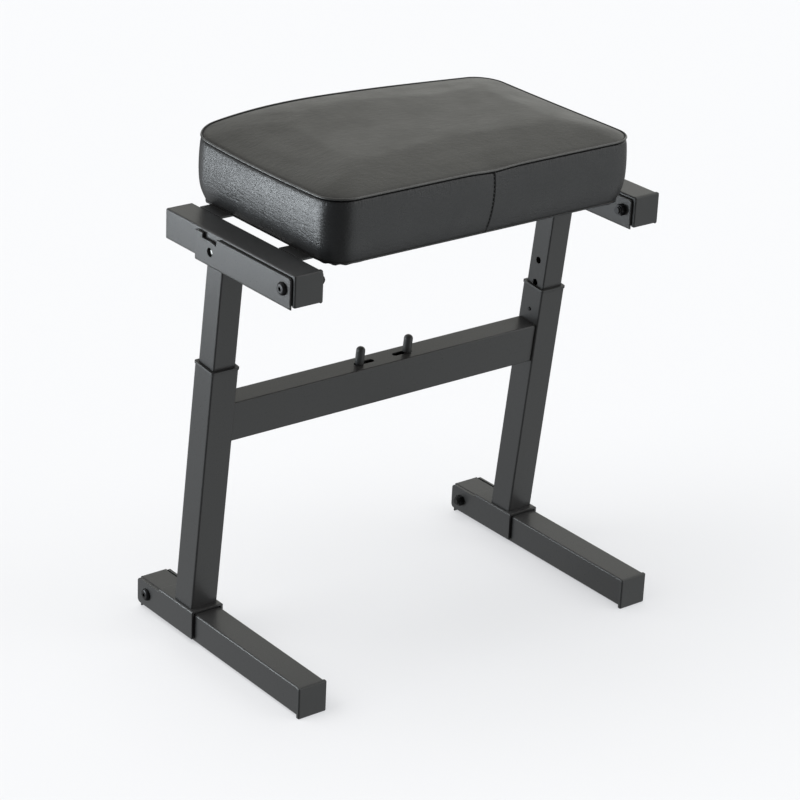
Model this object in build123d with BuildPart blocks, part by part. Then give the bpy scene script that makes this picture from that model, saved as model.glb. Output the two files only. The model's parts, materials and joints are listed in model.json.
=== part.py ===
from build123d import *
import os
from math import cos, radians, sin

os.makedirs("parts", exist_ok=True)

# Every size is in millimetres. The origin is on the floor, midway between the legs and midway along the feet.
# The seat faces +Z, the feet run along Y, and the keyboard side of the bench is -Y.
sides = {"left": -1, "right": 1}

# Leaning legs: each leg's axis meets the floor at this place and leans towards -Y as it rises.
leg_offset = 256.0
leg_floor_y = 81.5
lean_degrees = 6.4
lean = radians(lean_degrees)

# Steel tubes
big_side = 38.0
big_round = 2.2
inner_side = 32.0
inner_round = 2.0
tube_wall = 1.5
leg_top_rise = 378.0
bar_depth = 32.0
bar_height = 53.0
bar_drop = 74.8
inner_overlap = 148.0

# Height lock
lock_drop = 8.2
hole_pitch = 31.6
hole_count = 4
lock_hole_radius = 4.5
rod_radius = 4.0
rod_tip_chamfer = 1.2
stub_radius = 3.0
stub_reach = 11.5
pin_x = 37.5
sleeve_radius = 5.75
sleeve_height = 23.8
sleeve_roof = 5.5
sleeve_lift = 0.5
sleeve_dome = 5.2
slot_inner_reach = 22.5
slot_outer_reach = 7.5
slot_width = 7.5
guide_inset = 37.0
guide_thickness = 3.0
spring_outer_radius = 5.5
spring_bore_radius = 3.6

# Gaps between pieces that move on each other
run_gap = 0.05
clear_gap = 0.3

# Plastic collar in the top of each outer leg, and the glide at the foot of each inner leg
lip_side = 40.0
lip_round = 3.0
lip_height = 3.0
collar_bore_gap = 0.35
collar_sleeve_depth = 42.0
rivet_drop = 31.3
rivet_head_radius = 2.9
rivet_head_height = 1.6
rivet_shank_radius = 1.6
rivet_shank_length = 2.3
rivet_taper_degrees = 30.0
glide_foot = 4.0
glide_plug_depth = 16.0
glide_wall = 2.5

# Folded sheet brackets that hold the rails and the feet
sheet = 3.0
bracket_gap = 1.2
bend_round = 2.4
foot_bracket_front_y = 50.2
foot_bracket_rear_y = 173.6
foot_web_rear_y = 124.7
foot_web_top_z = 45.0
foot_wall_top_z = 41.2
foot_wall_floor_z = 7.0
foot_wall_round = 5.5
top_bracket_front_y = -135.4
top_bracket_rear_y = 55.0
top_web_front_y = -92.0
top_bracket_floor_z = 510.8
top_bracket_height = 37.6
top_wall_round = 4.0
notch_rear_y = 40.4
notch_bend_y = 23.0
notch_low_y = 12.4
notch_front_y = 10.6
notch_depth = 6.0
notch_low_depth = 8.4

# Feet
foot_front_y = -174.0
foot_rear_y = 174.0
foot_tube_floor_z = 3.0
foot_pivot_y = 153.0
foot_pivot_z = 25.0
foot_cap_width = 41.0
foot_cap_height = 41.5
foot_rear_cap_height = 41.0
foot_cap_round = 2.0
foot_front_cap = 4.5
foot_rear_cap = 3.0

# Seat rails
rail_front_y = -140.3
rail_rear_y = 122.9
rail_z = 533.2
rail_pivot_y = -121.5
rail_front_cap = 4.5
rail_rear_cap = 2.3
rail_cap_side = 39.4
cap_round = 2.0
plug_depth = 8.0
plug_wall = 2.0

# Through bolts and lock nuts
bolt_radius = 4.0
bolt_head_radius = 8.0
bolt_head_height = 4.4
bolt_head_dome = 3.4
bolt_socket = 5.0
bolt_socket_depth = 2.4
bolt_tail = 2.0
nut_flats = 13.0
nut_hex_height = 6.4
nut_collar_radius = 5.6
nut_collar_height = 1.6

# Seat lock: a spring button in each rail
button_y = 24.5
button_z = 529.0
button_radius = 4.75
button_dome = 1.6
button_hole_radius = 5.5
button_flange_radius = 6.5
button_flange = 1.0
button_stroke = 4.3
leaf_thickness = 0.8
leaf_width = 9.0
leaf_reach = 42.0
leaf_flat = 9.0
leaf_round = 5.0
leaf_bend_share = 0.9

# Straps and seat board
strap_width = 42.0
strap_thickness = 3.0
front_strap_inset = 41.0
rear_strap_inset = 31.0
board_inset = 3.0
board_thickness = 9.0
board_round = 28.0
screw_inset = 50.0
screw_radius = 3.0
screw_head_radius = 6.0
screw_head_height = 3.4
screw_head_dome = 2.4
screw_bite = 7.0

# Cushion: a foam block under a thin sewn cover
cushion_side_gap = 2.8
cushion_depth = 296.0
cushion_y = 1.0
cushion_height = 79.0
cushion_round = 33.0
cover_thickness = 1.2
skirt_inset = 7.0
skirt_rise = 9.0
skirt_share = 0.3
side_belly_rise = 38.0
side_neck_rise = 70.0
side_neck_inset = 0.8
seam_inset = 3.2
seam_width = 3.2
seam_proud_inset = 1.4
crown_height = 20.0
crown_rise_shares = (0, 0.46, 0.84, 1)
crown_inset_shares = (0.015, 0.11, 0.36, 0.76)

# Sizes that follow from the ones above
inner_channel = big_side + 2 * bracket_gap
channel_width = inner_channel + 2 * sheet
inner_end_rise = leg_top_rise - inner_overlap
bar_rise = leg_top_rise - bar_drop
bar_top_rise = bar_rise + bar_height / 2
lock_rise = bar_top_rise - lock_drop
sleeve_top_rise = bar_top_rise + sleeve_height
core_top_rise = sleeve_top_rise - sleeve_roof
rivet_rise = leg_top_rise - rivet_drop
top_wall_z = top_bracket_floor_z + top_bracket_height
rail_top_z = rail_z + big_side / 2
clear_side = big_side - 2 * tube_wall
foot_tube_z = foot_tube_floor_z + big_side / 2
leg_inner_x = leg_offset - big_side / 2
cushion_width = 2 * (leg_offset - channel_width / 2 - cushion_side_gap)
cushion_floor_z = rail_top_z + clear_gap
board_width = cushion_width - 2 * (skirt_inset + board_inset)
board_depth = cushion_depth - 2 * (skirt_inset + board_inset)
board_top_z = rail_top_z + board_thickness
screw_x = board_width / 2 - screw_inset
front_strap_y = cushion_y - board_depth / 2 + front_strap_inset + strap_width / 2
rear_strap_y = cushion_y + board_depth / 2 - rear_strap_inset - strap_width / 2


def save(builder, name):
    builder.part.label = name
    export_step(builder.part, "parts/" + name + ".step")


# A point on a leg's axis, or beside it, at a distance up the leaning leg.
def rise_point(x, rise):
    return (x, leg_floor_y - rise * sin(lean), rise * cos(lean))


# A plane square to the leaning legs, looking up along them.
def leg_plane(x, rise):
    return Plane(origin=rise_point(x, rise), x_dir=(1, 0, 0), z_dir=(0, -sin(lean), cos(lean)))


# A plane square to X in the leaning frame, looking out to the given side.
def bar_plane(x, rise, side):
    return Plane(origin=rise_point(x, rise), x_dir=(0, cos(lean), sin(lean)), z_dir=(side, 0, 0))


# A plane square to Y, drawn as X across and Z up.
def section_plane(y):
    return Plane.XZ.offset(-y)


def tube_section(width, height, corner):
    RectangleRounded(width, height, corner)
    RectangleRounded(width - 2 * tube_wall, height - 2 * tube_wall, corner - tube_wall, mode=Mode.SUBTRACT)


# A U of folded sheet along Y. It is drawn as a closed box about its mouth, and the caller keeps half.
def channel(x, mouth_z, height, front_y, rear_y):
    with BuildSketch(section_plane(front_y)) as section:
        with Locations((x, mouth_z)):
            RectangleRounded(channel_width, 2 * height, bend_round)
            Rectangle(inner_channel, 2 * height - 2 * sheet, mode=Mode.SUBTRACT)
    extrude(section.sketch, amount=front_y - rear_y)


# Round holes along X through both walls of whatever is being built.
def bore_across(x, y, z, radius, width):
    with BuildSketch(Plane.YZ.offset(x)) as hole:
        with Locations((y, z)):
            Circle(radius)
    extrude(hole.sketch, amount=width, both=True, mode=Mode.SUBTRACT)


def build_outer_leg(name, side):
    x = side * leg_offset
    with BuildPart() as leg:
        with BuildSketch(leg_plane(x, 0)):
            tube_section(big_side, big_side, big_round)
        extrude(amount=leg_top_rise)
        with Locations((x, leg_floor_y, foot_web_top_z)):
            Box(2 * big_side, 2 * big_side, 2 * foot_web_top_z, align=(Align.CENTER, Align.CENTER, Align.MAX),
                mode=Mode.SUBTRACT)
        with BuildSketch(bar_plane(x, lock_rise, -side)):
            Circle(rod_radius + run_gap)
        extrude(amount=big_side, mode=Mode.SUBTRACT)
        with BuildSketch(bar_plane(x, rivet_rise, -side)):
            Circle(rivet_shank_radius)
        extrude(amount=big_side, mode=Mode.SUBTRACT)
    save(leg, name)


def build_collar(name, side):
    x = side * leg_offset
    bore = inner_side + 2 * collar_bore_gap
    with BuildPart() as collar:
        with BuildSketch(leg_plane(x, leg_top_rise)):
            RectangleRounded(lip_side, lip_side, lip_round)
        extrude(amount=lip_height)
        with BuildSketch(leg_plane(x, leg_top_rise)):
            RectangleRounded(clear_side, clear_side, big_round - tube_wall)
        extrude(amount=-collar_sleeve_depth)
        with BuildSketch(leg_plane(x, leg_top_rise + lip_height)):
            RectangleRounded(bore, bore, inner_round)
        extrude(amount=-(collar_sleeve_depth + lip_height), mode=Mode.SUBTRACT)
        with BuildSketch(bar_plane(x, rivet_rise, -side)):
            Circle(rivet_shank_radius)
        extrude(amount=big_side, mode=Mode.SUBTRACT)
    save(collar, name)


# The crossbar's ends meet the inner faces of the outer legs. Its two slots let the finger pins through.
def build_crossbar():
    slot_length = slot_outer_reach + slot_inner_reach
    slot_middle = pin_x + (slot_outer_reach - slot_inner_reach) / 2
    with BuildPart() as bar:
        with BuildSketch(bar_plane(-leg_inner_x, bar_rise, 1)):
            tube_section(bar_depth, bar_height, inner_round)
        extrude(amount=2 * leg_inner_x)
        with BuildSketch(leg_plane(0, bar_top_rise)):
            with Locations((-slot_middle, 0), (slot_middle, 0)):
                SlotOverall(slot_length, slot_width)
        extrude(amount=-bar_height / 2, mode=Mode.SUBTRACT)
    save(bar, "crossbar")


# A plate across the inside of the crossbar near each end carries the lock rod.
def build_rod_guides():
    with BuildPart() as guides:
        for side in sides.values():
            with BuildSketch(bar_plane(side * (leg_inner_x - guide_inset), bar_rise, side)):
                RectangleRounded(bar_depth - 2 * tube_wall, bar_height - 2 * tube_wall, inner_round - tube_wall)
                with Locations((0, lock_rise - bar_rise) if side > 0 else (0, bar_rise - lock_rise)):
                    Circle(rod_radius + run_gap, mode=Mode.SUBTRACT)
            extrude(amount=guide_thickness)
    save(guides, "rod_guides")


def build_lock_rod(name, side):
    with BuildPart() as rod:
        tip_x = leg_offset - inner_side / 2 - clear_gap
        with BuildSketch(bar_plane(side * pin_x, lock_rise, side)):
            Circle(rod_radius)
        extrude(amount=tip_x - pin_x)
        tip = edges().sort_by(Axis.X)[-1 if side > 0 else 0]
        chamfer(tip, rod_tip_chamfer)
        with BuildSketch(bar_plane(side * pin_x, lock_rise, -side)):
            Circle(stub_radius)
        extrude(amount=stub_reach)
        with BuildSketch(leg_plane(side * pin_x, lock_rise)):
            Circle(stub_radius)
        extrude(amount=core_top_rise - lock_rise)
    save(rod, name)


def build_finger_sleeve(name, side):
    with BuildPart() as sleeve:
        foot_rise = bar_top_rise + sleeve_lift
        with BuildSketch(leg_plane(side * pin_x, foot_rise)):
            Circle(sleeve_radius)
        extrude(amount=sleeve_top_rise - foot_rise)
        fillet(edges().sort_by(Axis.Z)[-1], sleeve_dome)
        with BuildSketch(leg_plane(side * pin_x, foot_rise)):
            Circle(stub_radius)
        extrude(amount=core_top_rise - foot_rise, mode=Mode.SUBTRACT)
    save(sleeve, name)


# The coil between the two rods, kept as a plain sleeve of its outer and inner diameters.
def build_lock_spring():
    end_x = pin_x - stub_radius - clear_gap
    with BuildPart() as spring:
        with BuildSketch(bar_plane(-end_x, lock_rise, 1)):
            Circle(spring_outer_radius)
            Circle(spring_bore_radius, mode=Mode.SUBTRACT)
        extrude(amount=2 * end_x)
    save(spring, "lock_spring")


def build_foot_bracket(name, side):
    x = side * leg_offset
    web_height = foot_web_top_z - foot_wall_floor_z
    with BuildPart() as bracket:
        channel(x, foot_wall_floor_z, web_height, foot_bracket_front_y, foot_bracket_rear_y)
        with BuildSketch(Plane.YZ.offset(x)):
            with Locations((foot_bracket_rear_y, foot_wall_floor_z)):
                RectangleRounded(foot_bracket_rear_y - foot_web_rear_y + 2 * foot_wall_round,
                                 foot_wall_top_z - foot_wall_floor_z, foot_wall_round,
                                 align=(Align.MAX, Align.MIN))
            with Locations((foot_bracket_front_y, foot_wall_floor_z)):
                Rectangle(foot_web_rear_y - foot_bracket_front_y, web_height, align=(Align.MIN, Align.MIN))
        extrude(amount=channel_width, both=True, mode=Mode.INTERSECT)
        bore_across(x, foot_pivot_y, foot_pivot_z, bolt_radius, channel_width)
    save(bracket, name)


def build_foot_tube(name, side):
    x = side * leg_offset
    front_y = foot_front_y + foot_front_cap
    rear_y = foot_rear_y - foot_rear_cap
    with BuildPart() as tube:
        with BuildSketch(section_plane(front_y)):
            with Locations((x, foot_tube_z)):
                tube_section(big_side, big_side, big_round)
        extrude(amount=front_y - rear_y)
        bore_across(x, foot_pivot_y, foot_pivot_z, bolt_radius + run_gap, big_side)
    save(tube, name)


# A hollow plug that fills the end of a square tube, standing behind a cap's flange.
def plug(x, z, start_y, direction):
    with BuildSketch(section_plane(start_y)) as section:
        with Locations((x, z)):
            RectangleRounded(clear_side, clear_side, big_round - tube_wall)
            Rectangle(clear_side - 2 * plug_wall, clear_side - 2 * plug_wall, mode=Mode.SUBTRACT)
    extrude(section.sketch, amount=-direction * plug_depth)


def build_foot_front_cap(name, side):
    x = side * leg_offset
    with BuildPart() as cap:
        with BuildSketch(section_plane(foot_front_y)):
            with Locations((x, 0)):
                Rectangle(foot_cap_width, foot_cap_height, align=(Align.CENTER, Align.MIN))
        extrude(amount=-foot_front_cap)
        front_edges = edges().group_by(Axis.Y)[0] + edges().filter_by(Axis.Y)
        fillet(front_edges, foot_cap_round)
        plug(x, foot_tube_z, foot_front_y + foot_front_cap, 1)
    save(cap, name)


# The rear cap stays inside the bracket, so it is no wider than the tube. Its lower edge is the heel.
def build_foot_rear_cap(name, side):
    x = side * leg_offset
    with BuildPart() as cap:
        with BuildSketch(section_plane(foot_rear_y)):
            with Locations((x, 0)):
                Rectangle(big_side, foot_rear_cap_height, align=(Align.CENTER, Align.MIN))
        extrude(amount=foot_rear_cap)
        fillet(edges().group_by(Axis.Y)[-1], foot_cap_round)
        plug(x, foot_tube_z, foot_rear_y - foot_rear_cap, -1)
    save(cap, name)


def build_inner_leg(name, side):
    x = side * leg_offset
    with BuildPart() as leg:
        with BuildSketch(leg_plane(x, inner_end_rise)):
            tube_section(inner_side, inner_side, inner_round)
        extrude(amount=top_wall_z - inner_end_rise)
        with Locations((x, 0, top_bracket_floor_z)):
            Box(leg_offset, leg_offset, leg_offset, align=(Align.CENTER, Align.CENTER, Align.MIN), mode=Mode.SUBTRACT)
        for step in range(hole_count):
            with BuildSketch(bar_plane(x, lock_rise + step * hole_pitch, -side)):
                Circle(lock_hole_radius)
            extrude(amount=inner_side, mode=Mode.SUBTRACT)
    save(leg, name)


def build_leg_glide(name, side):
    x = side * leg_offset
    foot_side = clear_side - 2 * clear_gap
    plug_side = inner_side - 2 * tube_wall
    with BuildPart() as glide:
        with BuildSketch(leg_plane(x, inner_end_rise)):
            RectangleRounded(foot_side, foot_side, inner_round)
        extrude(amount=-glide_foot)
        with BuildSketch(leg_plane(x, inner_end_rise)):
            RectangleRounded(plug_side, plug_side, inner_round - tube_wall)
        extrude(amount=glide_plug_depth)
        with BuildSketch(leg_plane(x, inner_end_rise - glide_foot)):
            Rectangle(plug_side - 2 * glide_wall, plug_side - 2 * glide_wall)
        extrude(amount=glide_plug_depth + glide_foot, mode=Mode.SUBTRACT)
    save(glide, name)


def build_top_bracket(name, side):
    x = side * leg_offset
    length = top_bracket_rear_y - top_bracket_front_y
    with BuildPart() as bracket:
        channel(x, top_wall_z, top_bracket_height, top_bracket_front_y, top_bracket_rear_y)
        with BuildSketch(Plane.YZ.offset(x)):
            with Locations((top_bracket_front_y, top_bracket_floor_z)):
                Rectangle(length, top_bracket_height, align=(Align.MIN, Align.MIN))
            fillet(vertices().group_by(Axis.Y)[-1].sort_by(Axis.X)[0], top_wall_round)
        extrude(amount=channel_width, both=True, mode=Mode.INTERSECT)
        with Locations((x, top_web_front_y, top_bracket_floor_z)):
            Box(inner_channel, 2 * (top_web_front_y - top_bracket_front_y), 2 * sheet, mode=Mode.SUBTRACT)
        with BuildSketch(Plane.YZ.offset(x)):
            with BuildLine():
                Polyline((notch_rear_y, top_wall_z), (notch_rear_y, top_wall_z - notch_depth),
                         (notch_bend_y, top_wall_z - notch_depth), (notch_low_y, top_wall_z - notch_low_depth),
                         (notch_front_y, top_wall_z), close=True)
            make_face()
            with Locations((button_y, button_z)):
                Circle(button_hole_radius)
        extrude(amount=side * channel_width, mode=Mode.SUBTRACT)
        bore_across(x, rail_pivot_y, rail_z, bolt_radius, channel_width)
    save(bracket, name)


def build_rail(name, side):
    x = side * leg_offset
    front_y = rail_front_y + rail_front_cap
    rear_y = rail_rear_y - rail_rear_cap
    with BuildPart() as rail:
        with BuildSketch(section_plane(front_y)):
            with Locations((x, rail_z)):
                tube_section(big_side, big_side, big_round)
        extrude(amount=front_y - rear_y)
        bore_across(x, rail_pivot_y, rail_z, bolt_radius + run_gap, big_side)
        with BuildSketch(Plane.YZ.offset(x)):
            with Locations((button_y, button_z)):
                Circle(button_radius + run_gap)
        extrude(amount=side * big_side, mode=Mode.SUBTRACT)
    save(rail, name)


def build_rail_front_cap(name, side):
    x = side * leg_offset
    with BuildPart() as cap:
        with BuildSketch(section_plane(rail_front_y)):
            with Locations((x, rail_z)):
                Rectangle(rail_cap_side, rail_cap_side)
        extrude(amount=-rail_front_cap)
        fillet(edges().group_by(Axis.Y)[0] + edges().filter_by(Axis.Y), cap_round)
        plug(x, rail_z, rail_front_y + rail_front_cap, 1)
    save(cap, name)


def build_rail_rear_cap(name, side):
    x = side * leg_offset
    with BuildPart() as cap:
        with BuildSketch(section_plane(rail_rear_y)):
            with Locations((x, rail_z)):
                RectangleRounded(big_side, big_side, big_round)
        extrude(amount=rail_rear_cap)
        plug(x, rail_z, rail_rear_y - rail_rear_cap, -1)
    save(cap, name)


# The bolt stands along Z with its head's underside at the origin, so that copies can be placed.
def make_bolt():
    with BuildPart() as bolt:
        with BuildSketch():
            Circle(bolt_head_radius)
        extrude(amount=bolt_head_height)
        fillet(edges().group_by(Axis.Z)[-1], bolt_head_dome)
        with BuildSketch(Plane.XY.offset(bolt_head_height)):
            RegularPolygon(bolt_socket / 2, side_count=6, major_radius=False)
        extrude(amount=-bolt_socket_depth, mode=Mode.SUBTRACT)
        with BuildSketch():
            Circle(bolt_radius)
        extrude(amount=-(channel_width + nut_hex_height + nut_collar_height + bolt_tail))
    return bolt.part


def make_nut():
    with BuildPart() as nut:
        with BuildSketch():
            RegularPolygon(nut_flats / 2, side_count=6, major_radius=False)
        extrude(amount=-nut_hex_height)
        with BuildSketch(Plane.XY.offset(-nut_hex_height)):
            Circle(nut_collar_radius)
        extrude(amount=-nut_collar_height)
        with BuildSketch():
            Circle(bolt_radius)
        extrude(amount=-(nut_hex_height + nut_collar_height), mode=Mode.SUBTRACT)
    return nut.part


# One bolt and one nut on each side. The head is on the outer face and the nut on the inner one.
def build_bolts_and_nuts(bolt_name, nut_name, y, z):
    bolt_part = make_bolt()
    nut_part = make_nut()
    with BuildPart() as bolts:
        for side in sides.values():
            face = Plane(origin=(side * (leg_offset + channel_width / 2), y, z), x_dir=(0, 1, 0), z_dir=(side, 0, 0))
            add(face.location * bolt_part)
    save(bolts, bolt_name)
    with BuildPart() as nuts:
        for side in sides.values():
            face = Plane(origin=(side * (leg_offset - channel_width / 2), y, z), x_dir=(0, 1, 0), z_dir=(side, 0, 0))
            add(face.location * nut_part)
    save(nuts, nut_name)


def build_leg_rivets():
    with BuildPart() as rivets:
        for side in sides.values():
            face = bar_plane(side * leg_inner_x, rivet_rise, -side)
            with BuildSketch(face):
                Circle(rivet_head_radius)
            extrude(amount=rivet_head_height, taper=rivet_taper_degrees)
            with BuildSketch(face):
                Circle(rivet_shank_radius)
            extrude(amount=-rivet_shank_length)
    save(rivets, "leg_rivets")


def build_snap_button(name, side):
    tip_x = leg_offset + inner_channel / 2 - clear_gap
    wall_x = leg_offset + clear_side / 2
    flange_x = wall_x - button_stroke - clear_gap
    with BuildPart() as button:
        with BuildSketch(Plane(origin=(side * flange_x, button_y, button_z), x_dir=(0, 1, 0), z_dir=(side, 0, 0))):
            Circle(button_radius)
        extrude(amount=tip_x - flange_x)
        fillet(edges().sort_by(Axis.X)[-1 if side > 0 else 0], button_dome)
        with BuildSketch(Plane(origin=(side * flange_x, button_y, button_z), x_dir=(0, 1, 0), z_dir=(side, 0, 0))):
            Circle(button_flange_radius)
        extrude(amount=-button_flange)
    save(button, name)


# A bent spring strip inside the rail: one arm lies on the rail's inner wall, the other carries the button.
def build_button_leaf(name, side):
    wall_x = leg_offset - clear_side / 2 + leaf_thickness / 2
    flange_x = leg_offset + clear_side / 2 - button_stroke - button_flange - 2 * clear_gap
    arm_x = flange_x - leaf_thickness / 2
    with BuildPart() as leaf:
        with BuildSketch(Plane.XY.offset(button_z)):
            with BuildLine():
                FilletPolyline((side * wall_x, button_y - leaf_flat),
                               (side * wall_x, button_y + leaf_reach),
                               (side * (wall_x + 2 * leaf_round), button_y + leaf_reach),
                               (side * arm_x, button_y + leaf_flat),
                               (side * arm_x, button_y - leaf_flat), radius=leaf_round * leaf_bend_share)
            trace(line_width=leaf_thickness)
        extrude(amount=leaf_width / 2, both=True)
    save(leaf, name)


# The straps lie level with the rails' tops and their ends meet the rails' inner faces.
def build_strap(name, y):
    with BuildPart() as strap:
        with Locations((0, y, rail_top_z)):
            Box(2 * leg_inner_x, strap_width, strap_thickness, align=(Align.CENTER, Align.CENTER, Align.MAX))
        with BuildSketch(Plane.XY.offset(rail_top_z)):
            with Locations((-screw_x, y), (screw_x, y)):
                Circle(screw_radius)
        extrude(amount=-strap_thickness, mode=Mode.SUBTRACT)
    save(strap, name)


def build_seat_screws():
    with BuildPart() as screws:
        with BuildSketch(Plane.XY.offset(rail_top_z - strap_thickness)):
            with Locations(*screw_places()):
                Circle(screw_head_radius)
        extrude(amount=-screw_head_height)
        fillet(edges().group_by(Axis.Z)[0], screw_head_dome)
        with BuildSketch(Plane.XY.offset(rail_top_z - strap_thickness)):
            with Locations(*screw_places()):
                Circle(screw_radius)
        extrude(amount=strap_thickness + screw_bite)
    save(screws, "seat_screws")


def screw_places():
    return [(x, y) for x in (-screw_x, screw_x) for y in (front_strap_y, rear_strap_y)]


def build_seat_board():
    with BuildPart() as board:
        with BuildSketch(Plane.XY.offset(rail_top_z)):
            board_outline()
        extrude(amount=board_thickness)
        with BuildSketch(Plane.XY.offset(rail_top_z)):
            with Locations(*screw_places()):
                Circle(screw_radius)
        extrude(amount=screw_bite, mode=Mode.SUBTRACT)
    save(board, "seat_board")


# One level of the cushion: a rounded outline drawn in from the cushion's widest one.
def cushion_level(z, inset):
    with BuildSketch(Plane.XY.offset(z), mode=Mode.PRIVATE) as level:
        with Locations((0, cushion_y)):
            RectangleRounded(cushion_width - 2 * inset, cushion_depth - 2 * inset,
                             cushion_round * (1 - inset / cushion_depth))
    return level.sketch


# The cushion's form, or the same form drawn in by a depth. The sides belly out above the board and draw in below
# the seam, and the top is crowned.
def padding(lower_levels, depth, mode):
    top_z = cushion_floor_z + cushion_height - depth
    sides_up = [(cushion_floor_z + rise, inset) for rise, inset in lower_levels]
    sides_up += [(cushion_floor_z + side_belly_rise, 0), (cushion_floor_z + side_neck_rise, side_neck_inset)]
    loft([cushion_level(z, inset + depth) for z, inset in sides_up + [(top_z, seam_inset)]], mode=mode)
    loft([cushion_level(top_z + crown_height * rise_share, seam_inset + depth + inset_share * cushion_depth / 2)
          for rise_share, inset_share in zip(crown_rise_shares, crown_inset_shares)], mode=mode)


def board_outline():
    with Locations((0, cushion_y)):
        RectangleRounded(board_width, board_depth, board_round)


# The cover's seam stands proud round the top of its sides. Its lower edge is drawn in against the board's edge.
def build_cushion():
    skirt = ((0, skirt_inset), (skirt_rise, skirt_inset * skirt_share))
    hollow = ((board_top_z - cushion_floor_z, skirt_inset * skirt_share),)
    seam_z = cushion_floor_z + cushion_height - seam_width
    with BuildPart() as cushion:
        padding(skirt, 0, Mode.ADD)
        extrude(cushion_level(seam_z, seam_proud_inset), amount=seam_width)
        padding(hollow, cover_thickness, Mode.SUBTRACT)
        with BuildSketch(Plane.XY.offset(cushion_floor_z)):
            board_outline()
        extrude(amount=board_top_z - cushion_floor_z, mode=Mode.SUBTRACT)
    save(cushion, "cushion")


# The foam stands on the board, just clear of the cover all round.
def build_cushion_foam():
    foot = ((board_top_z - cushion_floor_z, skirt_inset * skirt_share),)
    with BuildPart() as foam:
        padding(foot, cover_thickness + clear_gap, Mode.ADD)
    save(foam, "cushion_foam")


for side_name, side_sign in sides.items():
    build_outer_leg(side_name + "_outer_leg", side_sign)
    build_collar(side_name + "_leg_collar", side_sign)
    build_lock_rod(side_name + "_lock_rod", side_sign)
    build_finger_sleeve(side_name + "_finger_sleeve", side_sign)
    build_foot_bracket(side_name + "_foot_bracket", side_sign)
    build_foot_tube(side_name + "_foot_tube", side_sign)
    build_foot_front_cap(side_name + "_foot_front_cap", side_sign)
    build_foot_rear_cap(side_name + "_foot_rear_cap", side_sign)
    build_inner_leg(side_name + "_inner_leg", side_sign)
    build_leg_glide(side_name + "_leg_glide", side_sign)
    build_top_bracket(side_name + "_top_bracket", side_sign)
    build_rail(side_name + "_rail", side_sign)
    build_rail_front_cap(side_name + "_rail_front_cap", side_sign)
    build_rail_rear_cap(side_name + "_rail_rear_cap", side_sign)
    build_snap_button(side_name + "_snap_button", side_sign)
    build_button_leaf(side_name + "_button_leaf", side_sign)

build_crossbar()
build_rod_guides()
build_lock_spring()
build_leg_rivets()
build_bolts_and_nuts("foot_bolts", "foot_nuts", foot_pivot_y, foot_pivot_z)
build_bolts_and_nuts("rail_bolts", "rail_nuts", rail_pivot_y, rail_z)
build_strap("front_strap", front_strap_y)
build_strap("rear_strap", rear_strap_y)
build_seat_screws()
build_seat_board()
build_cushion_foam()
build_cushion()
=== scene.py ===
import json
import math
import random

import bmesh
import bpy
import numpy as np
from mathutils import Matrix, Vector
from mathutils.bvhtree import BVHTree


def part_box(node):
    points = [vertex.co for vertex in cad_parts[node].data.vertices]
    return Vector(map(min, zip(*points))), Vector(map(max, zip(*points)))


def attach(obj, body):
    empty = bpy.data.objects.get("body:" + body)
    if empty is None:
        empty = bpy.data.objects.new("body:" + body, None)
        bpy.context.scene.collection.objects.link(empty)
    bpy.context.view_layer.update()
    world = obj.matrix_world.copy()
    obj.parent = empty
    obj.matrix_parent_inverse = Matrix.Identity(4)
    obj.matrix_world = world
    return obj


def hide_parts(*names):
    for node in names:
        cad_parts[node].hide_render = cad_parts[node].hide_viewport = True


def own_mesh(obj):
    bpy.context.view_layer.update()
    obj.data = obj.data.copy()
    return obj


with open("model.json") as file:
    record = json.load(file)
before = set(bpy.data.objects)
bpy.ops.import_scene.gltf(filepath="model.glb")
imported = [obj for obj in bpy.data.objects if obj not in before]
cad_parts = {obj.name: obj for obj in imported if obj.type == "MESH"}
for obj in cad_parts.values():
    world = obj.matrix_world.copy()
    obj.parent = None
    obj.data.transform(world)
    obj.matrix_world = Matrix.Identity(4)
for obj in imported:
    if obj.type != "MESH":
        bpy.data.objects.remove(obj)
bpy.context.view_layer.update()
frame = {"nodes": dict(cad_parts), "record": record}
random.seed(7)
nodes = frame["nodes"]
SIDES = (("left", -1), ("right", 1))

# The cushion below its crown, as the solids have it, in metres
SEAT_Y = 0.0005
SEAT_Z = 0.5525
SEAT_W = 0.4600
SEAT_D = 0.2930
SEAT_H = 0.0783
SEAT_ROUND = 0.034

# How high the top rises in its middle above the seam
CROWN = 0.0140

# Where the front band's two ends meet at the seam, and how far to the left their foot lies
JOINT_X = 0.004
JOINT_LEAN = 0.005


# A material with its node tree and its shader
def new_material(name):
    m = bpy.data.materials.new(name)
    m.use_nodes = True
    return m, m.node_tree, m.node_tree.nodes["Principled BSDF"]


# A node, with values for its inputs or, where it has no such input, for its settings
def node(tree, kind, **values):
    made = tree.nodes.new(kind)
    for key, value in values.items():
        if key in made.inputs:
            made.inputs[key].default_value = value
        else:
            setattr(made, key, value)
    return made


# Places on the piece, in metres, times a scale along each axis
def place(tree, scale=(1, 1, 1)):
    here = tree.nodes.new("ShaderNodeTexCoord")
    mapping = node(tree, "ShaderNodeMapping", Scale=scale)
    tree.links.new(here.outputs["Object"], mapping.inputs["Vector"])
    return mapping.outputs["Vector"]


def noise(tree, vector, scale, detail, roughness=0.5):
    made = node(tree, "ShaderNodeTexNoise", Scale=scale, Detail=detail, Roughness=roughness)
    tree.links.new(vector, made.inputs["Vector"])
    return made.outputs["Fac"]


# A value carried from one range to another, and held at the ends
def ramp(tree, value, across, to):
    made = tree.nodes.new("ShaderNodeMapRange")
    made.inputs["From Min"].default_value, made.inputs["From Max"].default_value = across
    made.inputs["To Min"].default_value, made.inputs["To Max"].default_value = to
    tree.links.new(value, made.inputs["Value"])
    return made.outputs["Result"]


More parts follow.
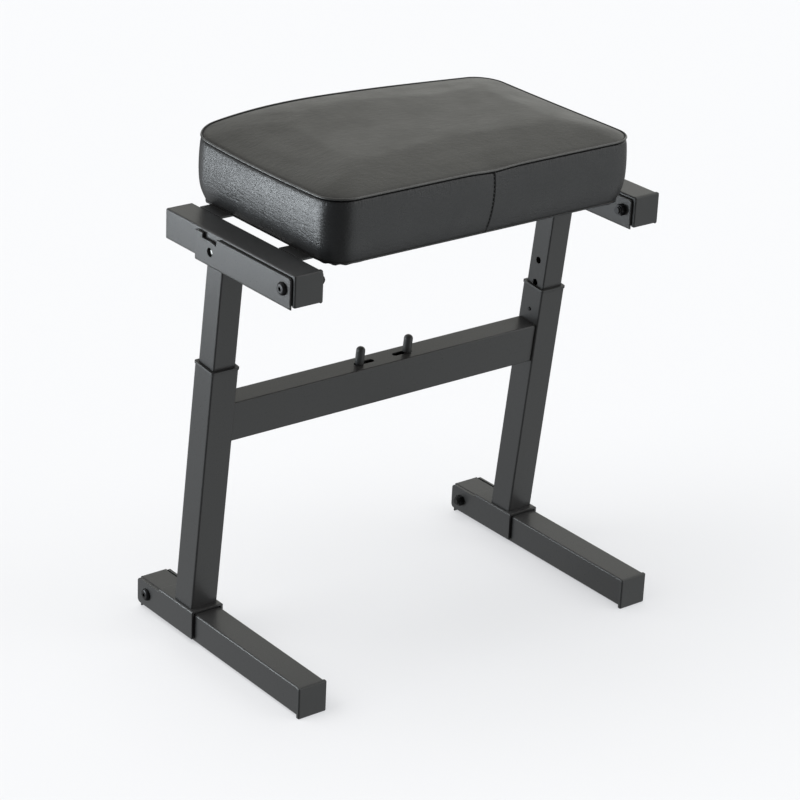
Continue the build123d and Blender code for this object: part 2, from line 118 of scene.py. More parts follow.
# One colour where the share is 0 and the other where it is 1. A colour is three numbers or a node's output.
def mix(tree, share, first, second):
    made = tree.nodes.new("ShaderNodeMix")
    made.data_type = "RGBA"
    tree.links.new(share, made.inputs["Factor"])
    for value, socket in ((first, made.inputs["A"]), (second, made.inputs["B"])):
        if isinstance(value, tuple):
            socket.default_value = (*value, 1)
        else:
            tree.links.new(value, socket)
    return made.outputs["Result"]


# A relief on top of another one
def bump(tree, height, strength, distance, base=None):
    made = node(tree, "ShaderNodeBump", Strength=strength, Distance=distance)
    tree.links.new(height, made.inputs["Height"])
    if base is not None:
        tree.links.new(base, made.inputs["Normal"])
    return made.outputs["Normal"]


# One step of arithmetic on two values, each a number or a node's output
def combine(tree, kind, first, second):
    made = tree.nodes.new("ShaderNodeMath")
    made.operation = kind
    for value, socket in ((first, made.inputs[0]), (second, made.inputs[1])):
        if isinstance(value, (int, float)):
            socket.default_value = value
        else:
            tree.links.new(value, socket)
    return made.outputs["Value"]


# The normal of an edge that catches the light as if it were rounded
def round_edge(tree, radius):
    made = node(tree, "ShaderNodeBevel", Radius=radius)
    made.samples = 4
    return made.outputs["Normal"]


# Satin black powder coat: a fine orange peel, a slight change of tone, edges rounded in shading, and a
# painted highlight that makes the base colour lighter at the sharpest edges
def powder_coat():
    m, t, p = new_material("powder_coat")
    v = place(t)
    tone = noise(t, v, scale=9, detail=4)
    speck = noise(t, v, scale=900, detail=2)
    peel = noise(t, v, scale=420, detail=2)
    geometry = t.nodes.new("ShaderNodeNewGeometry")
    # Painted highlight: where the surface is pointy, at its edges, the base colour is mixed towards a lighter
    # grey
    painted_edge_highlight = ramp(t, geometry.outputs["Pointiness"], across=(0.515, 0.56), to=(0, 1))
    base = mix(t, tone, (0.010, 0.010, 0.0102), (0.014, 0.014, 0.0142))
    t.links.new(mix(t, painted_edge_highlight, base, (0.055, 0.055, 0.055)), p.inputs["Base Color"])
    t.links.new(ramp(t, speck, across=(0.3, 0.7), to=(0.27, 0.35)), p.inputs["Roughness"])
    p.inputs["Specular IOR Level"].default_value = 0.38
    relief = bump(t, peel, strength=0.18, distance=0.0004, base=round_edge(t, 0.0009))
    relief = bump(t, speck, strength=0.12, distance=0.0002, base=relief)
    t.links.new(relief, p.inputs["Normal"])
    return m


# Moulded plastic: matte, with a fine spark texture
def moulded_plastic():
    m, t, p = new_material("moulded_plastic")
    v = place(t)
    grain = noise(t, v, scale=1400, detail=3)
    tone = noise(t, v, scale=24, detail=3)
    t.links.new(mix(t, tone, (0.044, 0.045, 0.045), (0.056, 0.057, 0.057)), p.inputs["Base Color"])
    t.links.new(ramp(t, grain, across=(0.3, 0.7), to=(0.42, 0.55)), p.inputs["Roughness"])
    relief = bump(t, grain, strength=0.25, distance=0.00025, base=round_edge(t, 0.0007))
    t.links.new(relief, p.inputs["Normal"])
    return m


# Plated or blackened steel: spots of tone, and fine marks drawn out across the bench
def steel(name, low, high, rough, metallic=1.0):
    m, t, p = new_material(name)
    smear = noise(t, place(t, (60, 900, 900)), scale=1, detail=3)
    spots = noise(t, place(t), scale=160, detail=4)
    t.links.new(mix(t, spots, low, high), p.inputs["Base Color"])
    t.links.new(ramp(t, smear, across=(0.3, 0.7), to=rough), p.inputs["Roughness"])
    t.links.new(bump(t, smear, strength=0.15, distance=0.0002), p.inputs["Normal"])
    p.inputs["Metallic"].default_value = metallic
    return m


# Sanded plywood, with its grain across the bench and dark fibres in it
def plywood():
    m, t, p = new_material("plywood")
    grain = noise(t, place(t, (3, 30, 30)), scale=6, detail=6, roughness=0.65)
    fibre = noise(t, place(t, (40, 900, 900)), scale=1, detail=3)
    colour = mix(t, grain, (0.30, 0.19, 0.10), (0.50, 0.36, 0.22))
    dark = ramp(t, fibre, across=(0.45, 0.75), to=(0, 0.5))
    t.links.new(mix(t, dark, colour, (0.22, 0.13, 0.07)), p.inputs["Base Color"])
    p.inputs["Roughness"].default_value = 0.75
    t.links.new(bump(t, fibre, strength=0.3, distance=0.0003), p.inputs["Normal"])
    return m


# 1 on the thin fold where the front band's two ends are sewn, and 0 beside it. The band sinks the fold by it
# and paints its shade near black. It leans to the left as it falls.
def joint_fold(t, v):
    parts = t.nodes.new("ShaderNodeSeparateXYZ")
    t.links.new(v, parts.inputs["Vector"])
    fallen = ramp(t, parts.outputs["Z"], across=(SEAT_Z, SEAT_Z + SEAT_H), to=(1, 0))
    lean = combine(t, "MULTIPLY", combine(t, "MULTIPLY", fallen, fallen), JOINT_LEAN)
    past = combine(t, "ADD", combine(t, "SUBTRACT", parts.outputs["X"], JOINT_X), lean)
    beside = ramp(t, combine(t, "ABSOLUTE", past, 0), across=(0.0005, 0.0018), to=(1, 0))
    in_front = ramp(t, parts.outputs["Y"], across=(-0.130, -0.128), to=(1, 0))
    return combine(t, "MULTIPLY", beside, in_front)


# Small upright puckers on the band, that fade out below the seam
def seam_puckers(t, v):
    parts = t.nodes.new("ShaderNodeSeparateXYZ")
    t.links.new(v, parts.inputs["Vector"])
    pucker = noise(t, place(t, (420, 420, 30)), scale=1, detail=3)
    near = ramp(t, parts.outputs["Z"], across=(SEAT_Z + 0.064, SEAT_Z + 0.078), to=(0, 1))
    return combine(t, "MULTIPLY", pucker, near)


# Black leatherette: a fine pebbled grain, shallow creases that run along the panel, slow changes of tone and
# a soft gloss. The band also has the fold of its joint with painted shade in it, the puckers below its seam,
# and lies more evenly.
def leatherette(name, dark, pale, stretch, crease_depth, rough, band=False):
    m, t, p = new_material(name)
    v = place(t)
    cells = node(t, "ShaderNodeTexVoronoi", Scale=720.0, Randomness=1.0)
    cells.feature = "DISTANCE_TO_EDGE"
    t.links.new(v, cells.inputs["Vector"])
    pebble = ramp(t, cells.outputs["Distance"], across=(0.0, 0.22), to=(0, 1))
    crease = noise(t, place(t, stretch), scale=1, detail=5, roughness=0.62)
    base = mix(t, noise(t, v, scale=7, detail=3), dark, pale)
    worn = noise(t, v, scale=30, detail=4)
    t.links.new(ramp(t, worn, across=(0.3, 0.7), to=(rough - 0.04, rough + 0.05)), p.inputs["Roughness"])
    wavy, fine = (0.03, 0.12) if band else (0.06, 0.26)
    relief = bump(t, crease, strength=crease_depth, distance=0.0006)
    relief = bump(t, noise(t, v, scale=22, detail=3), strength=wavy, distance=0.0020, base=relief)
    relief = bump(t, noise(t, v, scale=230, detail=3), strength=fine, distance=0.0004, base=relief)
    if band:
        fold_and_painted_shade = joint_fold(t, v)
        # Painted shade: the fold of the joint is coloured near black
        base = mix(t, fold_and_painted_shade, base, (0.002, 0.002, 0.002))
        relief = bump(t, seam_puckers(t, v), strength=0.5, distance=0.0018, base=relief)
        relief = bump(t, combine(t, "MULTIPLY", fold_and_painted_shade, -1.0), strength=0.6, distance=0.0010, base=relief)
    relief = bump(t, pebble, strength=0.20, distance=0.00020, base=relief)
    t.links.new(base, p.inputs["Base Color"])
    t.links.new(relief, p.inputs["Normal"])
    p.inputs["Specular IOR Level"].default_value = 0.46 if band else 0.55
    p.inputs["Sheen Weight"].default_value = 0.06
    p.inputs["Sheen Roughness"].default_value = 0.4
    return m


# Black sewing thread. It also colours the grooves beside the seam: the first as the seam's thread and painted
# shade, the second as painted shade only
def thread_and_groove_shade():
    m, t, p = new_material("thread_and_groove_shade")
    twist = noise(t, place(t, (900, 900, 900)), scale=2, detail=3)
    t.links.new(mix(t, twist, (0.006, 0.006, 0.006), (0.014, 0.014, 0.014)), p.inputs["Base Color"])
    p.inputs["Roughness"].default_value = 0.7
    t.links.new(bump(t, twist, strength=0.4, distance=0.0002), p.inputs["Normal"])
    return m


# Open foam, for the solid that the cover hides
def foam():
    m, t, p = new_material("foam")
    cells = node(t, "ShaderNodeTexVoronoi", Scale=900.0)
    t.links.new(place(t), cells.inputs["Vector"])
    pores = cells.outputs["Distance"]
    t.links.new(mix(t, pores, (0.42, 0.36, 0.22), (0.62, 0.56, 0.40)), p.inputs["Base Color"])
    p.inputs["Roughness"].default_value = 0.95
    t.links.new(bump(t, pores, strength=0.5, distance=0.0005), p.inputs["Normal"])
    return m


ZINC = steel("zinc_steel", (0.50, 0.50, 0.48), (0.66, 0.66, 0.64), rough=(0.22, 0.38))
SPRING = steel("spring_steel", (0.20, 0.20, 0.20), (0.32, 0.32, 0.32), rough=(0.30, 0.45))
# The top panel is coloured lighter than the band, which is the same leatherette: painted light on the top
TOP_LEATHER_PAINTED_LIGHTER = leatherette("leatherette_top_painted_lighter", (0.036, 0.035, 0.031), (0.044, 0.043, 0.038),
                          stretch=(110, 190, 190), crease_depth=0.75, rough=0.38)
# The turned edge of the seam in a leatherette about twice as pale as the top: a painted highlight
LIP_LEATHER_PAINTED_HIGHLIGHT = leatherette("leatherette_lip_painted_highlight", (0.075, 0.075, 0.072), (0.092, 0.092, 0.088),
                           stretch=(110, 110, 190), crease_depth=0.2, rough=0.26)
BAND_LEATHER = leatherette("leatherette_band", (0.027, 0.028, 0.029), (0.036, 0.037, 0.038),
                           stretch=(90, 90, 430), crease_depth=0.85, rough=0.30, band=True)
THREAD_AND_GROOVE_SHADE = thread_and_groove_shade()
BY_SLOT = {
    "powder_coat": powder_coat(),
    "black_plastic": moulded_plastic(),
    "blackened_steel": steel("blackened_steel", (0.018, 0.018, 0.019), (0.030, 0.030, 0.031),
                             rough=(0.28, 0.42), metallic=0.6),
    "zinc_steel": ZINC,
    "spring_steel": SPRING,
    "plywood": plywood(),
    "leatherette": TOP_LEATHER_PAINTED_LIGHTER,
    "foam": foam(),
}
for sub in frame["record"]["subparts"]:
    slots = nodes[sub["node"]].data.materials
    if len(slots) == 0:
        slots.append(BY_SLOT[sub["material_slot"]])
    for i in range(len(slots)):
        slots[i] = BY_SLOT[sub["material_slot"]]


# The camera repeats the view fitted to the photograph: its azimuth, elevation and roll in degrees, its place
# in metres, and its focal length in pixels of the photograph
CAMERA_TURNS = (38.7, 23.6, -2.7)
CAMERA_PLACE = (-1.9851, -2.4709, 1.6705)
FOCAL_PIXELS = 2771.9
PHOTO_PIXELS = 800
SENSOR_WIDTH = 36


def add_camera():
    azimuth, elevation, roll = (math.radians(turn) for turn in CAMERA_TURNS)
    east, north = math.sin(azimuth), math.cos(azimuth)
    away = Vector((-east * math.cos(elevation), -north * math.cos(elevation), math.sin(elevation)))
    right = Vector((north, -east, 0))
    up = Vector((east * math.sin(elevation), north * math.sin(elevation), math.cos(elevation)))
    turned_right = right * math.cos(roll) - up * math.sin(roll)
    turned_up = right * math.sin(roll) + up * math.cos(roll)
    data = bpy.data.cameras.new("camera")
    data.sensor_width = SENSOR_WIDTH
    data.lens = FOCAL_PIXELS / PHOTO_PIXELS * SENSOR_WIDTH
    data.clip_end = 200
    camera = link(bpy.data.objects.new("camera", data))
    rotation = Matrix((turned_right, turned_up, away)).transposed()
    camera.matrix_world = Matrix.Translation(Vector(CAMERA_PLACE)) @ rotation.to_4x4()
    bpy.context.scene.camera = camera


def link(obj):
    bpy.context.scene.collection.objects.link(obj)
    return obj


# The outline of the cushion at one height: a rounded rectangle, walked once round from the middle of the
# front. A run along x or y has its fixed place, its start and its end, and a corner has its centre and its
# first angle.
def outline(half_x, half_y, corner, count):
    runs = [
        ("x", -half_y, 0, half_x - corner),
        ("corner", half_x - corner, -half_y + corner, -90),
        ("y", half_x, -half_y + corner, half_y - corner),
        ("corner", half_x - corner, half_y - corner, 0),
        ("x", half_y, half_x - corner, -half_x + corner),
        ("corner", -half_x + corner, half_y - corner, 90),
        ("y", -half_x, half_y - corner, -half_y + corner),
        ("corner", -half_x + corner, -half_y + corner, 180),
        ("x", -half_y, -half_x + corner, 0),
    ]
    lengths = [corner * math.pi / 2 if r[0] == "corner" else abs(r[3] - r[2]) for r in runs]
    total = sum(lengths)
    targets = [total * i / count for i in range(count)]
    points, done = [], 0.0
    for (kind, first, second, third), length in zip(runs, lengths):
        while targets and targets[0] <= done + length + 1e-9:
            s = targets.pop(0) - done
            if kind == "corner":
                angle = math.radians(third + 90 * s / length)
                points.append((first + corner * math.cos(angle), second + corner * math.sin(angle)))
            elif kind == "x":
                points.append((second + math.copysign(s, third - second), first))
            else:
                points.append((first, second + math.copysign(s, third - second)))
        done += length
    return points


# How far the top seam hangs below its corners. It sags a little at the left, right and front, dips where the
# front band is joined, and arches up along the rear, more so at its right, where the padding is fullest.
LEFT_SAG = 0.0048
RIGHT_SAG = 0.0010
FRONT_SAG = 0.0012
JOINT_DIP = 0.0021
JOINT_DIP_WIDTH = 0.026
REAR_ARCH = 0.0137
REAR_TILT = 0.0095


def seam_droop(x, y, dip=1.0):
    u = max(-1, min(1, x / (SEAT_W / 2)))
    v = max(-1, min(1, y / (SEAT_D / 2)))
    left = LEFT_SAG * (1 - abs(v) ** 2.2) * max(0, -u) ** 6
    right = RIGHT_SAG * (1 - abs(v) ** 2.2) * max(0, u) ** 6
    at_joint = JOINT_DIP * dip * math.exp(-((x - JOINT_X) / JOINT_DIP_WIDTH) ** 2)
    front = (FRONT_SAG + at_joint) * max(0, -v) ** 4
    rear = (REAR_ARCH * (1 - abs(u) ** 2.4) - REAR_TILT * u * (1 - u * u)) * max(0, v) ** 3
    return left + right + front - rear


# How far the top has risen at a share of the way in from the seam to the middle. It rises fast near the seam.
def crown(share):
    return CROWN * (1 - (1 - min(1, share)) ** 4.2)


# The cover's profile, from its lower edge up, each point as its rise and its inset in metres. The band leans
# in at its foot. At the seam a groove comes first, then the turned edge with its round top, then a second
# groove.
BAND = ((0.003, 0.0092), (0.0, 0.0084), (0.004, 0.0064), (0.010, 0.0040), (0.017, 0.0019), (0.026, 0.0005),
        (0.040, 0.0), (0.054, 0.0002), (0.064, 0.0007), (0.071, 0.0012), (0.0755, 0.0018), (0.0773, 0.0027))
SEAM = ((0.0780, 0.0048), (0.0786, 0.0050), (0.0789, 0.0026), (0.0797, 0.0013), (0.0809, 0.0013),
        (0.0820, 0.0021), (0.0820, 0.0030), (0.0807, 0.0036), (0.0807, 0.0044), (0.0820, 0.0057))
# The groove faces take the dark thread material: painted shade in the grooves
ON_BAND, ON_TOP, IN_GROOVE, ON_EDGE = range(4)
# The turned edge takes the pale lip leather, a painted highlight
SEAM_SLOTS = (IN_GROOVE,) * 3 + (ON_EDGE,) * 4 + (IN_GROOVE,) * 2

# Points round the cover, and rows from the seam to the middle of the top
COUNT = 240
ROWS = 26

# How much closer the rows are near the seam, how much of the way in the last one lies, how the corners of the
# rows tighten inwards, and the powers by which the droop fades below the seam, inwards, and at the joint
CROWDING = 1.25
LAST_ROW = 0.97
CORNER_TIGHTENING = 0.55
LEAST_CORNER = 0.012
FADE_DOWN = 1.5
FADE_IN = 2
FADE_JOINT = 9


# A ring walked from the middle of the front is closed by strips that run from front to back
def close_ring(bm, ring, upward):
    half, made = COUNT // 2, []
    for i in range(-COUNT // 4, COUNT // 4):
        corners = [ring[i], ring[i + 1], ring[half - 1 - i], ring[(half - i) % COUNT]]
        strip = list(dict.fromkeys(corners))
        made.append(bm.faces.new(strip if upward else list(reversed(strip))))
    return made


# The rings of the band and the seam, which droops more the higher it is
def side_rings(bm):
    rings = []
    for rise, inset in BAND + SEAM:
        ring = []
        corner = SEAT_ROUND - inset * 0.5
        for x, y in outline(SEAT_W / 2 - inset, SEAT_D / 2 - inset, corner, COUNT):
            drop = seam_droop(x, y) * min(1, rise / SEAT_H) ** FADE_DOWN
            ring.append(bm.verts.new((x, y + SEAT_Y, SEAT_Z + rise - drop)))
        rings.append(ring)
    return rings


# The rings of the top. They are closer together near the seam, and the seam's droop fades out inwards, the
# dip at the joint soonest of all.
def top_rings(bm):
    rim_rise, rim_inset = SEAM[-1]
    depth = SEAT_D / 2 - rim_inset
    rings = []
    for i in range(1, ROWS):
        t = i / ROWS
        inset = depth * (1 - (1 - t) ** CROWDING) * LAST_ROW
        half_x, half_y = SEAT_W / 2 - rim_inset - inset, depth - inset
        corner = min(max(SEAT_ROUND - 0.002 - inset * CORNER_TIGHTENING, LEAST_CORNER), half_y * 0.98)
        ring = []
        for x, y in outline(half_x, half_y, corner, COUNT):
            seam_x, seam_y = x * (SEAT_W / 2) / half_x, y * (SEAT_D / 2) / half_y
            droop = seam_droop(seam_x, seam_y, (1 - t) ** FADE_JOINT) * (1 - t) ** FADE_IN
            rise = rim_rise + crown(inset / depth) - droop
            ring.append(bm.verts.new((x, y + SEAT_Y, SEAT_Z + rise)))
        rings.append(ring)
    return rings


# The whole cover as one closed surface, before it is puffed
def cover_mesh():
    bm = bmesh.new()
    rings = side_rings(bm) + top_rings(bm)
    for k, (lower, upper) in enumerate(zip(rings, rings[1:])):
        past = k - len(BAND) + 1
        slot = ON_BAND if past < 0 else SEAM_SLOTS[past] if past < len(SEAM_SLOTS) else ON_TOP
        for i in range(COUNT):
            j = (i + 1) % COUNT
            bm.faces.new((lower[i], lower[j], upper[j], upper[i])).material_index = slot
    for face in close_ring(bm, rings[-1], True):
        face.material_index = ON_TOP
    close_ring(bm, rings[0], False)
    mesh = bpy.data.meshes.new("cushion_cover")
    bm.to_mesh(mesh)
    bm.free()
    return mesh


# How far cloth may swell a panel, in metres, how many frames it takes, and over how many points to each side
# its moves are evened out
SWELL = 0.0015
CLOTH_FRAMES = 18
EVEN_SPAN = 4


# Cloth swells the panels of the cover between the seam and the stapled lower edge, which hold still
def puff(obj):
    rest = np.array([v.co for v in obj.data.vertices])
    group = obj.vertex_groups.new(name="held")
    lower_edge = 3 * COUNT
    seam_start = (len(BAND) - 2) * COUNT
    seam_end = (len(BAND) + len(SEAM)) * COUNT
    for i in range(len(rest)):
        if seam_start <= i < seam_end or i < lower_edge:
            group.add([i], 1.0, "REPLACE")
    cloth = obj.modifiers.new("cloth", "CLOTH")
    s = cloth.settings
    s.quality = 6
    s.mass = 0.35
    s.tension_stiffness = s.compression_stiffness = 18
    s.shear_stiffness = 8
    s.bending_stiffness = 1.2
    s.use_pressure = True
    s.uniform_pressure_force = 4
    s.vertex_group_mass = "held"
    s.effector_weights.gravity = 0
    for f in range(1, CLOTH_FRAMES + 1):
        bpy.context.scene.frame_set(f)
    shaped = obj.evaluated_get(bpy.context.evaluated_depsgraph_get())
    moved = np.array([v.co for v in shaped.data.vertices])
    obj.modifiers.remove(cloth)
    bpy.context.scene.frame_set(1)
    step = (moved - rest).reshape(-1, COUNT, 3)
    turns = range(-EVEN_SPAN, EVEN_SPAN + 1)
    step = sum(np.roll(step, turn, axis=1) for turn in turns) / len(turns)
    step = step.reshape(-1, 3)
    length = np.linalg.norm(step, axis=1)
    keep = np.where(length > SWELL, SWELL / np.maximum(length, 1e-9), 1.0)
    new = rest + step * keep[:, None]
    obj.data.vertices.foreach_set("co", new.astype(np.float32).ravel())
    obj.data.update()


def smooth(obj):
    for p in obj.data.polygons:
        p.use_smooth = True


# One level of subdivision, applied to the mesh
def subdivide(obj):
    modifier = obj.modifiers.new("subdivision", "SUBSURF")
    modifier.levels = modifier.render_levels = 1
    bpy.context.view_layer.update()
    shaped = obj.evaluated_get(bpy.context.evaluated_depsgraph_get())
    obj.data = bpy.data.meshes.new_from_object(shaped)
    obj.modifiers.clear()


# A round wire through the points, with domed ends
def add_wire(bm, points, radius, sides=8):
    points = [Vector(p) for p in points]
    dome = radius * 0.6
    runs = [(b - a).normalized() for a, b in zip(points, points[1:])]
    across = runs[0].orthogonal().normalized()
    rings = []
    for i, p in enumerate(points):
        along = (runs[max(0, i - 1)] + runs[min(i, len(runs) - 1)]).normalized()
        across = (across - along * across.dot(along)).normalized()
        other = along.cross(across)
        turns = [2 * math.pi * k / sides for k in range(sides)]
        rings.append([bm.verts.new(p + (across * math.cos(w) + other * math.sin(w)) * radius) for w in turns])
    for a, b in zip(rings, rings[1:]):
        for k in range(sides):
            bm.faces.new((a[k], a[(k + 1) % sides], b[(k + 1) % sides], b[k]))
    start = (list(reversed(rings[0])), points[0] - runs[0] * dome)
    end = (rings[-1], points[-1] + runs[-1] * dome)
    for ring, tip in (start, end):
        point = bm.verts.new(tip)
        for k in range(sides):
            bm.faces.new((ring[k], ring[(k + 1) % sides], point))


# A piece from its finished mesh, with its material and the body that it moves with
def finish_piece(bm, name, material, body):
    mesh = bpy.data.meshes.new(name)
    bm.to_mesh(mesh)
    bm.free()
    obj = link(bpy.data.objects.new(name, mesh))
    smooth(obj)
    obj.data.materials.append(material)
    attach(obj, body)
    return obj


def build_cover():
    cover = link(bpy.data.objects.new("cushion_cover", cover_mesh()))
    puff(cover)
    subdivide(cover)
    smooth(cover)
    for material in (BAND_LEATHER, TOP_LEATHER_PAINTED_LIGHTER, THREAD_AND_GROOVE_SHADE, LIP_LEATHER_PAINTED_HIGHLIGHT):
        cover.data.materials.append(material)
    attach(cover, "seat")
    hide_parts("cushion", "cushion_foam")
    return cover


# Where the front band's two ends are sewn together, at a height above the rails
def joint_x(rise):
    return JOINT_X - JOINT_LEAN * (1 - rise / SEAT_H) ** 2


# The stitches of that joint, each a short wire that lies on the cover with its ends sunk into it
def build_joint_stitches(tree):
    stitches, first_rise, pitch, length, radius = 14, 0.0045, 0.0052, 0.0036, 0.00045
    sink, arch, steps = 0.0003, 0.0006, 4
    in_front = SEAT_Y - SEAT_D / 2 - 0.004
    bm = bmesh.new()
    for i in range(stitches):
        points = []
        for k in range(steps + 1):
            rise = first_rise + i * pitch + length * k / steps
            hit = tree.find_nearest(Vector((joint_x(rise), in_front, SEAT_Z + rise)))
            points.append(tuple(hit[0] - hit[1] * (sink - arch * math.sin(math.pi * k / steps))))
        add_wire(bm, points, radius)
    return finish_piece(bm, "joint_stitches", THREAD_AND_GROOVE_SHADE, "seat")


# The cover's edge, folded under the board: flat along the sides, and gathered in small pleats at the corners
HEM_WIDTH = 0.026
HEM_THICK = 0.0011
PLEAT_DEPTH = 0.0020


# 1 at the middle of a corner of the seat, and 0 away from the corners
def corner_share(x, y):
    centre_inset, reach = 0.020, 0.034
    aside = SEAT_W / 2 - centre_inset - abs(x)
    ahead = SEAT_D / 2 - centre_inset - abs(y)
    return max(0, 1 - math.hypot(aside, ahead) / reach)


def build_hem():
    count = 480
    outer = 0.008
    inner = outer + HEM_WIDTH
    steps = ((outer - 0.0002, 0.0012), (outer - 0.0004, -HEM_THICK * 0.5), (outer + 0.0012, -HEM_THICK),
             (0.016, -HEM_THICK), (0.024, -HEM_THICK), (inner, -HEM_THICK), (inner, 0.0004))
    bm = bmesh.new()
    rings = []
    for n, (inset, rise) in enumerate(steps):
        pleated = 0 < n < len(steps) - 1
        ring = []
        corner = SEAT_ROUND - inset * 0.5
        for i, (x, y) in enumerate(outline(SEAT_W / 2 - inset, SEAT_D / 2 - inset, corner, count)):
            wave = 0.5 + 0.5 * math.sin(i * 1.15 + math.sin(i * 0.31))
            pleat = corner_share(x, y) * wave * pleated
            ring.append(bm.verts.new((x, y + SEAT_Y, SEAT_Z + rise - PLEAT_DEPTH * pleat)))
        rings.append(ring)
    for a, b in zip(rings, rings[1:]):
        for i in range(count):
            j = (i + 1) % count
            bm.faces.new((a[j], a[i], b[i], b[j]))
    return finish_piece(bm, "cover_hem", BAND_LEATHER, "seat")


# The staples that hold the hem to the board, set by hand and so turned a little each way
def build_staples():
    count, inset, most_turn = 38, 0.022, 0.5
    half, leg, sunk, radius = 0.0050, 0.0020, 0.0003, 0.0004
    bend = [(-half, leg), (-half, 0.0002), (-0.0046, 0.0), (0.0046, 0.0), (half, 0.0002), (half, leg)]
    bm = bmesh.new()
    for x, y in outline(SEAT_W / 2 - inset, SEAT_D / 2 - inset, SEAT_ROUND - 0.010, count):
        turn = random.uniform(-most_turn, most_turn)
        along = Vector((math.cos(turn), math.sin(turn), 0))
        centre = Vector((x, y + SEAT_Y, SEAT_Z - HEM_THICK - sunk - 0.0012 * corner_share(x, y)))
        add_wire(bm, [tuple(centre + along * s + Vector((0, 0, h))) for s, h in bend], radius, 6)
    return finish_piece(bm, "cover_staples", ZINC, "seat")


# The coil spring between the lock rods, in two halves. The real halves shorten as their rod is pinched in;
# these keep their length.
def build_lock_coils():
    low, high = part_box("lock_spring")
    middle = [(a + b) / 2 for a, b in zip(low, high)]
    reach, wire, turns, per_turn, travel = (high[0] - low[0]) / 2, 0.0009, 9, 14, 0.012
    radius = (high[2] - low[2]) / 2 - wire
    for side, sign in SIDES:
        points = []
        for i in range(turns * per_turn + 1):
            turn = 2 * math.pi * i / per_turn
            x = sign * (reach - wire) * i / (turns * per_turn)
            y = middle[1] + radius * math.cos(turn)
            z = middle[2] + sign * radius * math.sin(turn)
            points.append((x, y, z))
        bm = bmesh.new()
        add_wire(bm, points, wire)
        coil = finish_piece(bm, side + "_lock_coil", SPRING, "outer_frame")
        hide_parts("lock_spring")
        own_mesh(coil)


def build_cushion():
    cover = build_cover()
    build_joint_stitches(BVHTree.FromObject(cover, bpy.context.evaluated_depsgraph_get()))
    build_hem()
    build_staples()


# The room is dim, with soft bright patches. Each has a direction, the cosines from it where the patch is full
# and where it is gone, how bright it is, and its tint.
ROOM = 0.12
WHITE = (1.0, 1.0, 1.0)
PATCHES = (
    # Seen in the tops, in the fronts, in the left faces and in the front left corner of the cushion
    ((0.66, 0.56, 0.50), 0.88, 0.70, 0.66, (1.0, 1.01, 0.95)),
    ((0.573, -0.715, -0.40), 0.96, 0.76, 0.77, (0.96, 1.0, 1.01)),
    ((-0.60, 0.72, -0.33), 0.95, 0.66, 0.38, WHITE),
    ((-0.715, -0.573, -0.40), 0.93, 0.74, 0.05, (0.8, 0.9, 1.0)),
    # From the right and from above
    ((1, 0, 0.2), 0.93, 0.70, 0.3, WHITE),
    ((0, 0, 1), 0.95, 0.75, 0.4, WHITE),
    # Seen in the turned edge of the front seam, in the band's rolled top below it, and in the turned edge of
    # the left seam
    ((0.573, -0.40, 0.715), 0.985, 0.94, 2.4, WHITE),
    ((0.573, -0.766, 0.29), 0.975, 0.92, 1.3, WHITE),
    ((-0.42, 0.715, 0.56), 0.985, 0.95, 2.0, WHITE),
)


# The share of one patch in a direction: 1 towards it, falling softly to 0
def patch(tree, direction, towards, inner, outer):
    dot = tree.nodes.new("ShaderNodeVectorMath")
    dot.operation = "DOT_PRODUCT"
    tree.links.new(direction, dot.inputs[0])
    dot.inputs[1].default_value = Vector(towards).normalized()
    fade = tree.nodes.new("ShaderNodeMapRange")
    fade.interpolation_type = "SMOOTHSTEP"
    fade.inputs["From Min"].default_value = outer
    fade.inputs["From Max"].default_value = inner
    tree.links.new(dot.outputs["Value"], fade.inputs["Value"])
    return fade.outputs["Result"]


def add_world():
    world = bpy.data.worlds.new("world")
    world.use_nodes = True
    bpy.context.scene.world = world
    t = world.node_tree
    direction = t.nodes.new("ShaderNodeTexCoord").outputs["Generated"]
    room = t.nodes["Background"]
    room.inputs["Color"].default_value = (*WHITE, 1)
    room.inputs["Strength"].default_value = ROOM
    light = room.outputs["Background"]
    for towards, inner, outer, strength, tint in PATCHES:
        glow = node(t, "ShaderNodeBackground", Color=(*tint, 1))
        share = patch(t, direction, towards, inner, outer)
        t.links.new(combine(t, "MULTIPLY", share, strength), glow.inputs["Strength"])
        both = t.nodes.new("ShaderNodeAddShader")
        t.links.new(light, both.inputs[0])
        t.links.new(glow.outputs["Background"], both.inputs[1])
        light = both.outputs["Shader"]
    t.links.new(light, t.nodes["World Output"].inputs["Surface"])


# White paper that glows a little of itself, so that the soft shadow under the bench stays pale. The bench is
# lit by the room and the card, and not by the paper.
PAPER_RADIUS = 80
PAPER_GLOW = 0.520


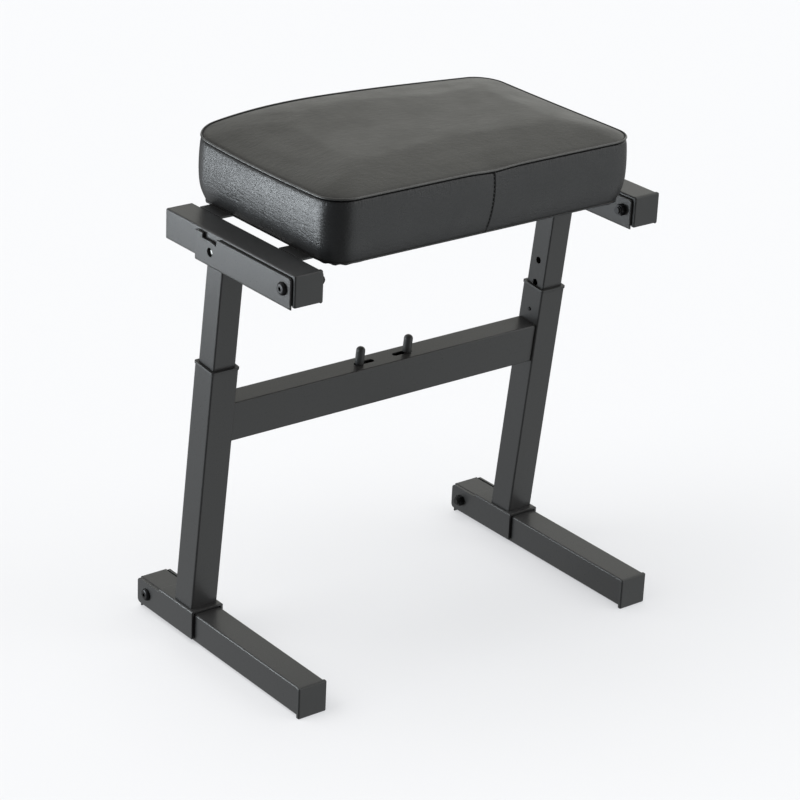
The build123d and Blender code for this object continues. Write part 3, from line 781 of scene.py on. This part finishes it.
def add_floor():
    mesh = bpy.data.meshes.new("floor")
    bm = bmesh.new()
    bmesh.ops.create_circle(bm, cap_ends=True, segments=96, radius=PAPER_RADIUS)
    bm.to_mesh(mesh)
    bm.free()
    floor = link(bpy.data.objects.new("floor", mesh))
    m, t, p = new_material("floor_paper")
    grain = noise(t, place(t), scale=260, detail=3)
    t.links.new(mix(t, grain, (0.297, 0.297, 0.297), (0.303, 0.303, 0.303)), p.inputs["Base Color"])
    p.inputs["Roughness"].default_value = 0.9
    p.inputs["Specular IOR Level"].default_value = 0
    p.inputs["Emission Color"].default_value = (0.956, 0.970, 1.0, 1)
    p.inputs["Emission Strength"].default_value = PAPER_GLOW
    floor.data.materials.append(m)
    floor.visible_glossy = floor.visible_diffuse = floor.visible_shadow = False
    return floor


def lamp(name, kind, place_at, aim, energy, colour=WHITE):
    data = bpy.data.lights.new(name, kind)
    data.energy = energy
    data.color = colour
    made = link(bpy.data.objects.new(name, data))
    made.location = place_at
    made.rotation_euler = (Vector(aim) - Vector(place_at)).to_track_quat("-Z", "Y").to_euler()
    return made


# Lamps that light only the given objects
def only_lights(lamps, receivers, name):
    group = bpy.data.collections.new(name)
    for obj in receivers:
        group.objects.link(obj)
    for light in lamps:
        light.light_linking.receiver_collection = group


# Two broad soft lamps light the paper and cast the bench's shadow on it. A card to the left lights the bench.
def add_studio():
    add_world()
    floor = add_floor()
    overhead = lamp("overhead", "SUN", place_at=(-0.35, 0.2, 2), aim=(0, 0, 0), energy=2.1)
    overhead.data.angle = math.radians(65)
    side = lamp("side", "SUN", place_at=(-1.2, 0.35, 1.1), aim=(0, 0, 0), energy=1.3)
    side.data.angle = math.radians(40)
    only_lights([overhead, side], [floor], "paper")
    cool = (0.93, 1.0, 1.05)
    card = lamp("card", "AREA", place_at=(-1.5, 0.95, 0.26), aim=(-0.2, 0, 0.3), energy=20, colour=cool)
    card.data.shape = "RECTANGLE"
    card.data.size, card.data.size_y = 1.0, 0.5
    only_lights([card], [o for o in bpy.data.objects if o.type == "MESH" and o is not floor], "bench")
    bpy.context.scene.view_settings.view_transform = "Standard"


add_camera()
build_cushion()
build_lock_coils()
add_studio()
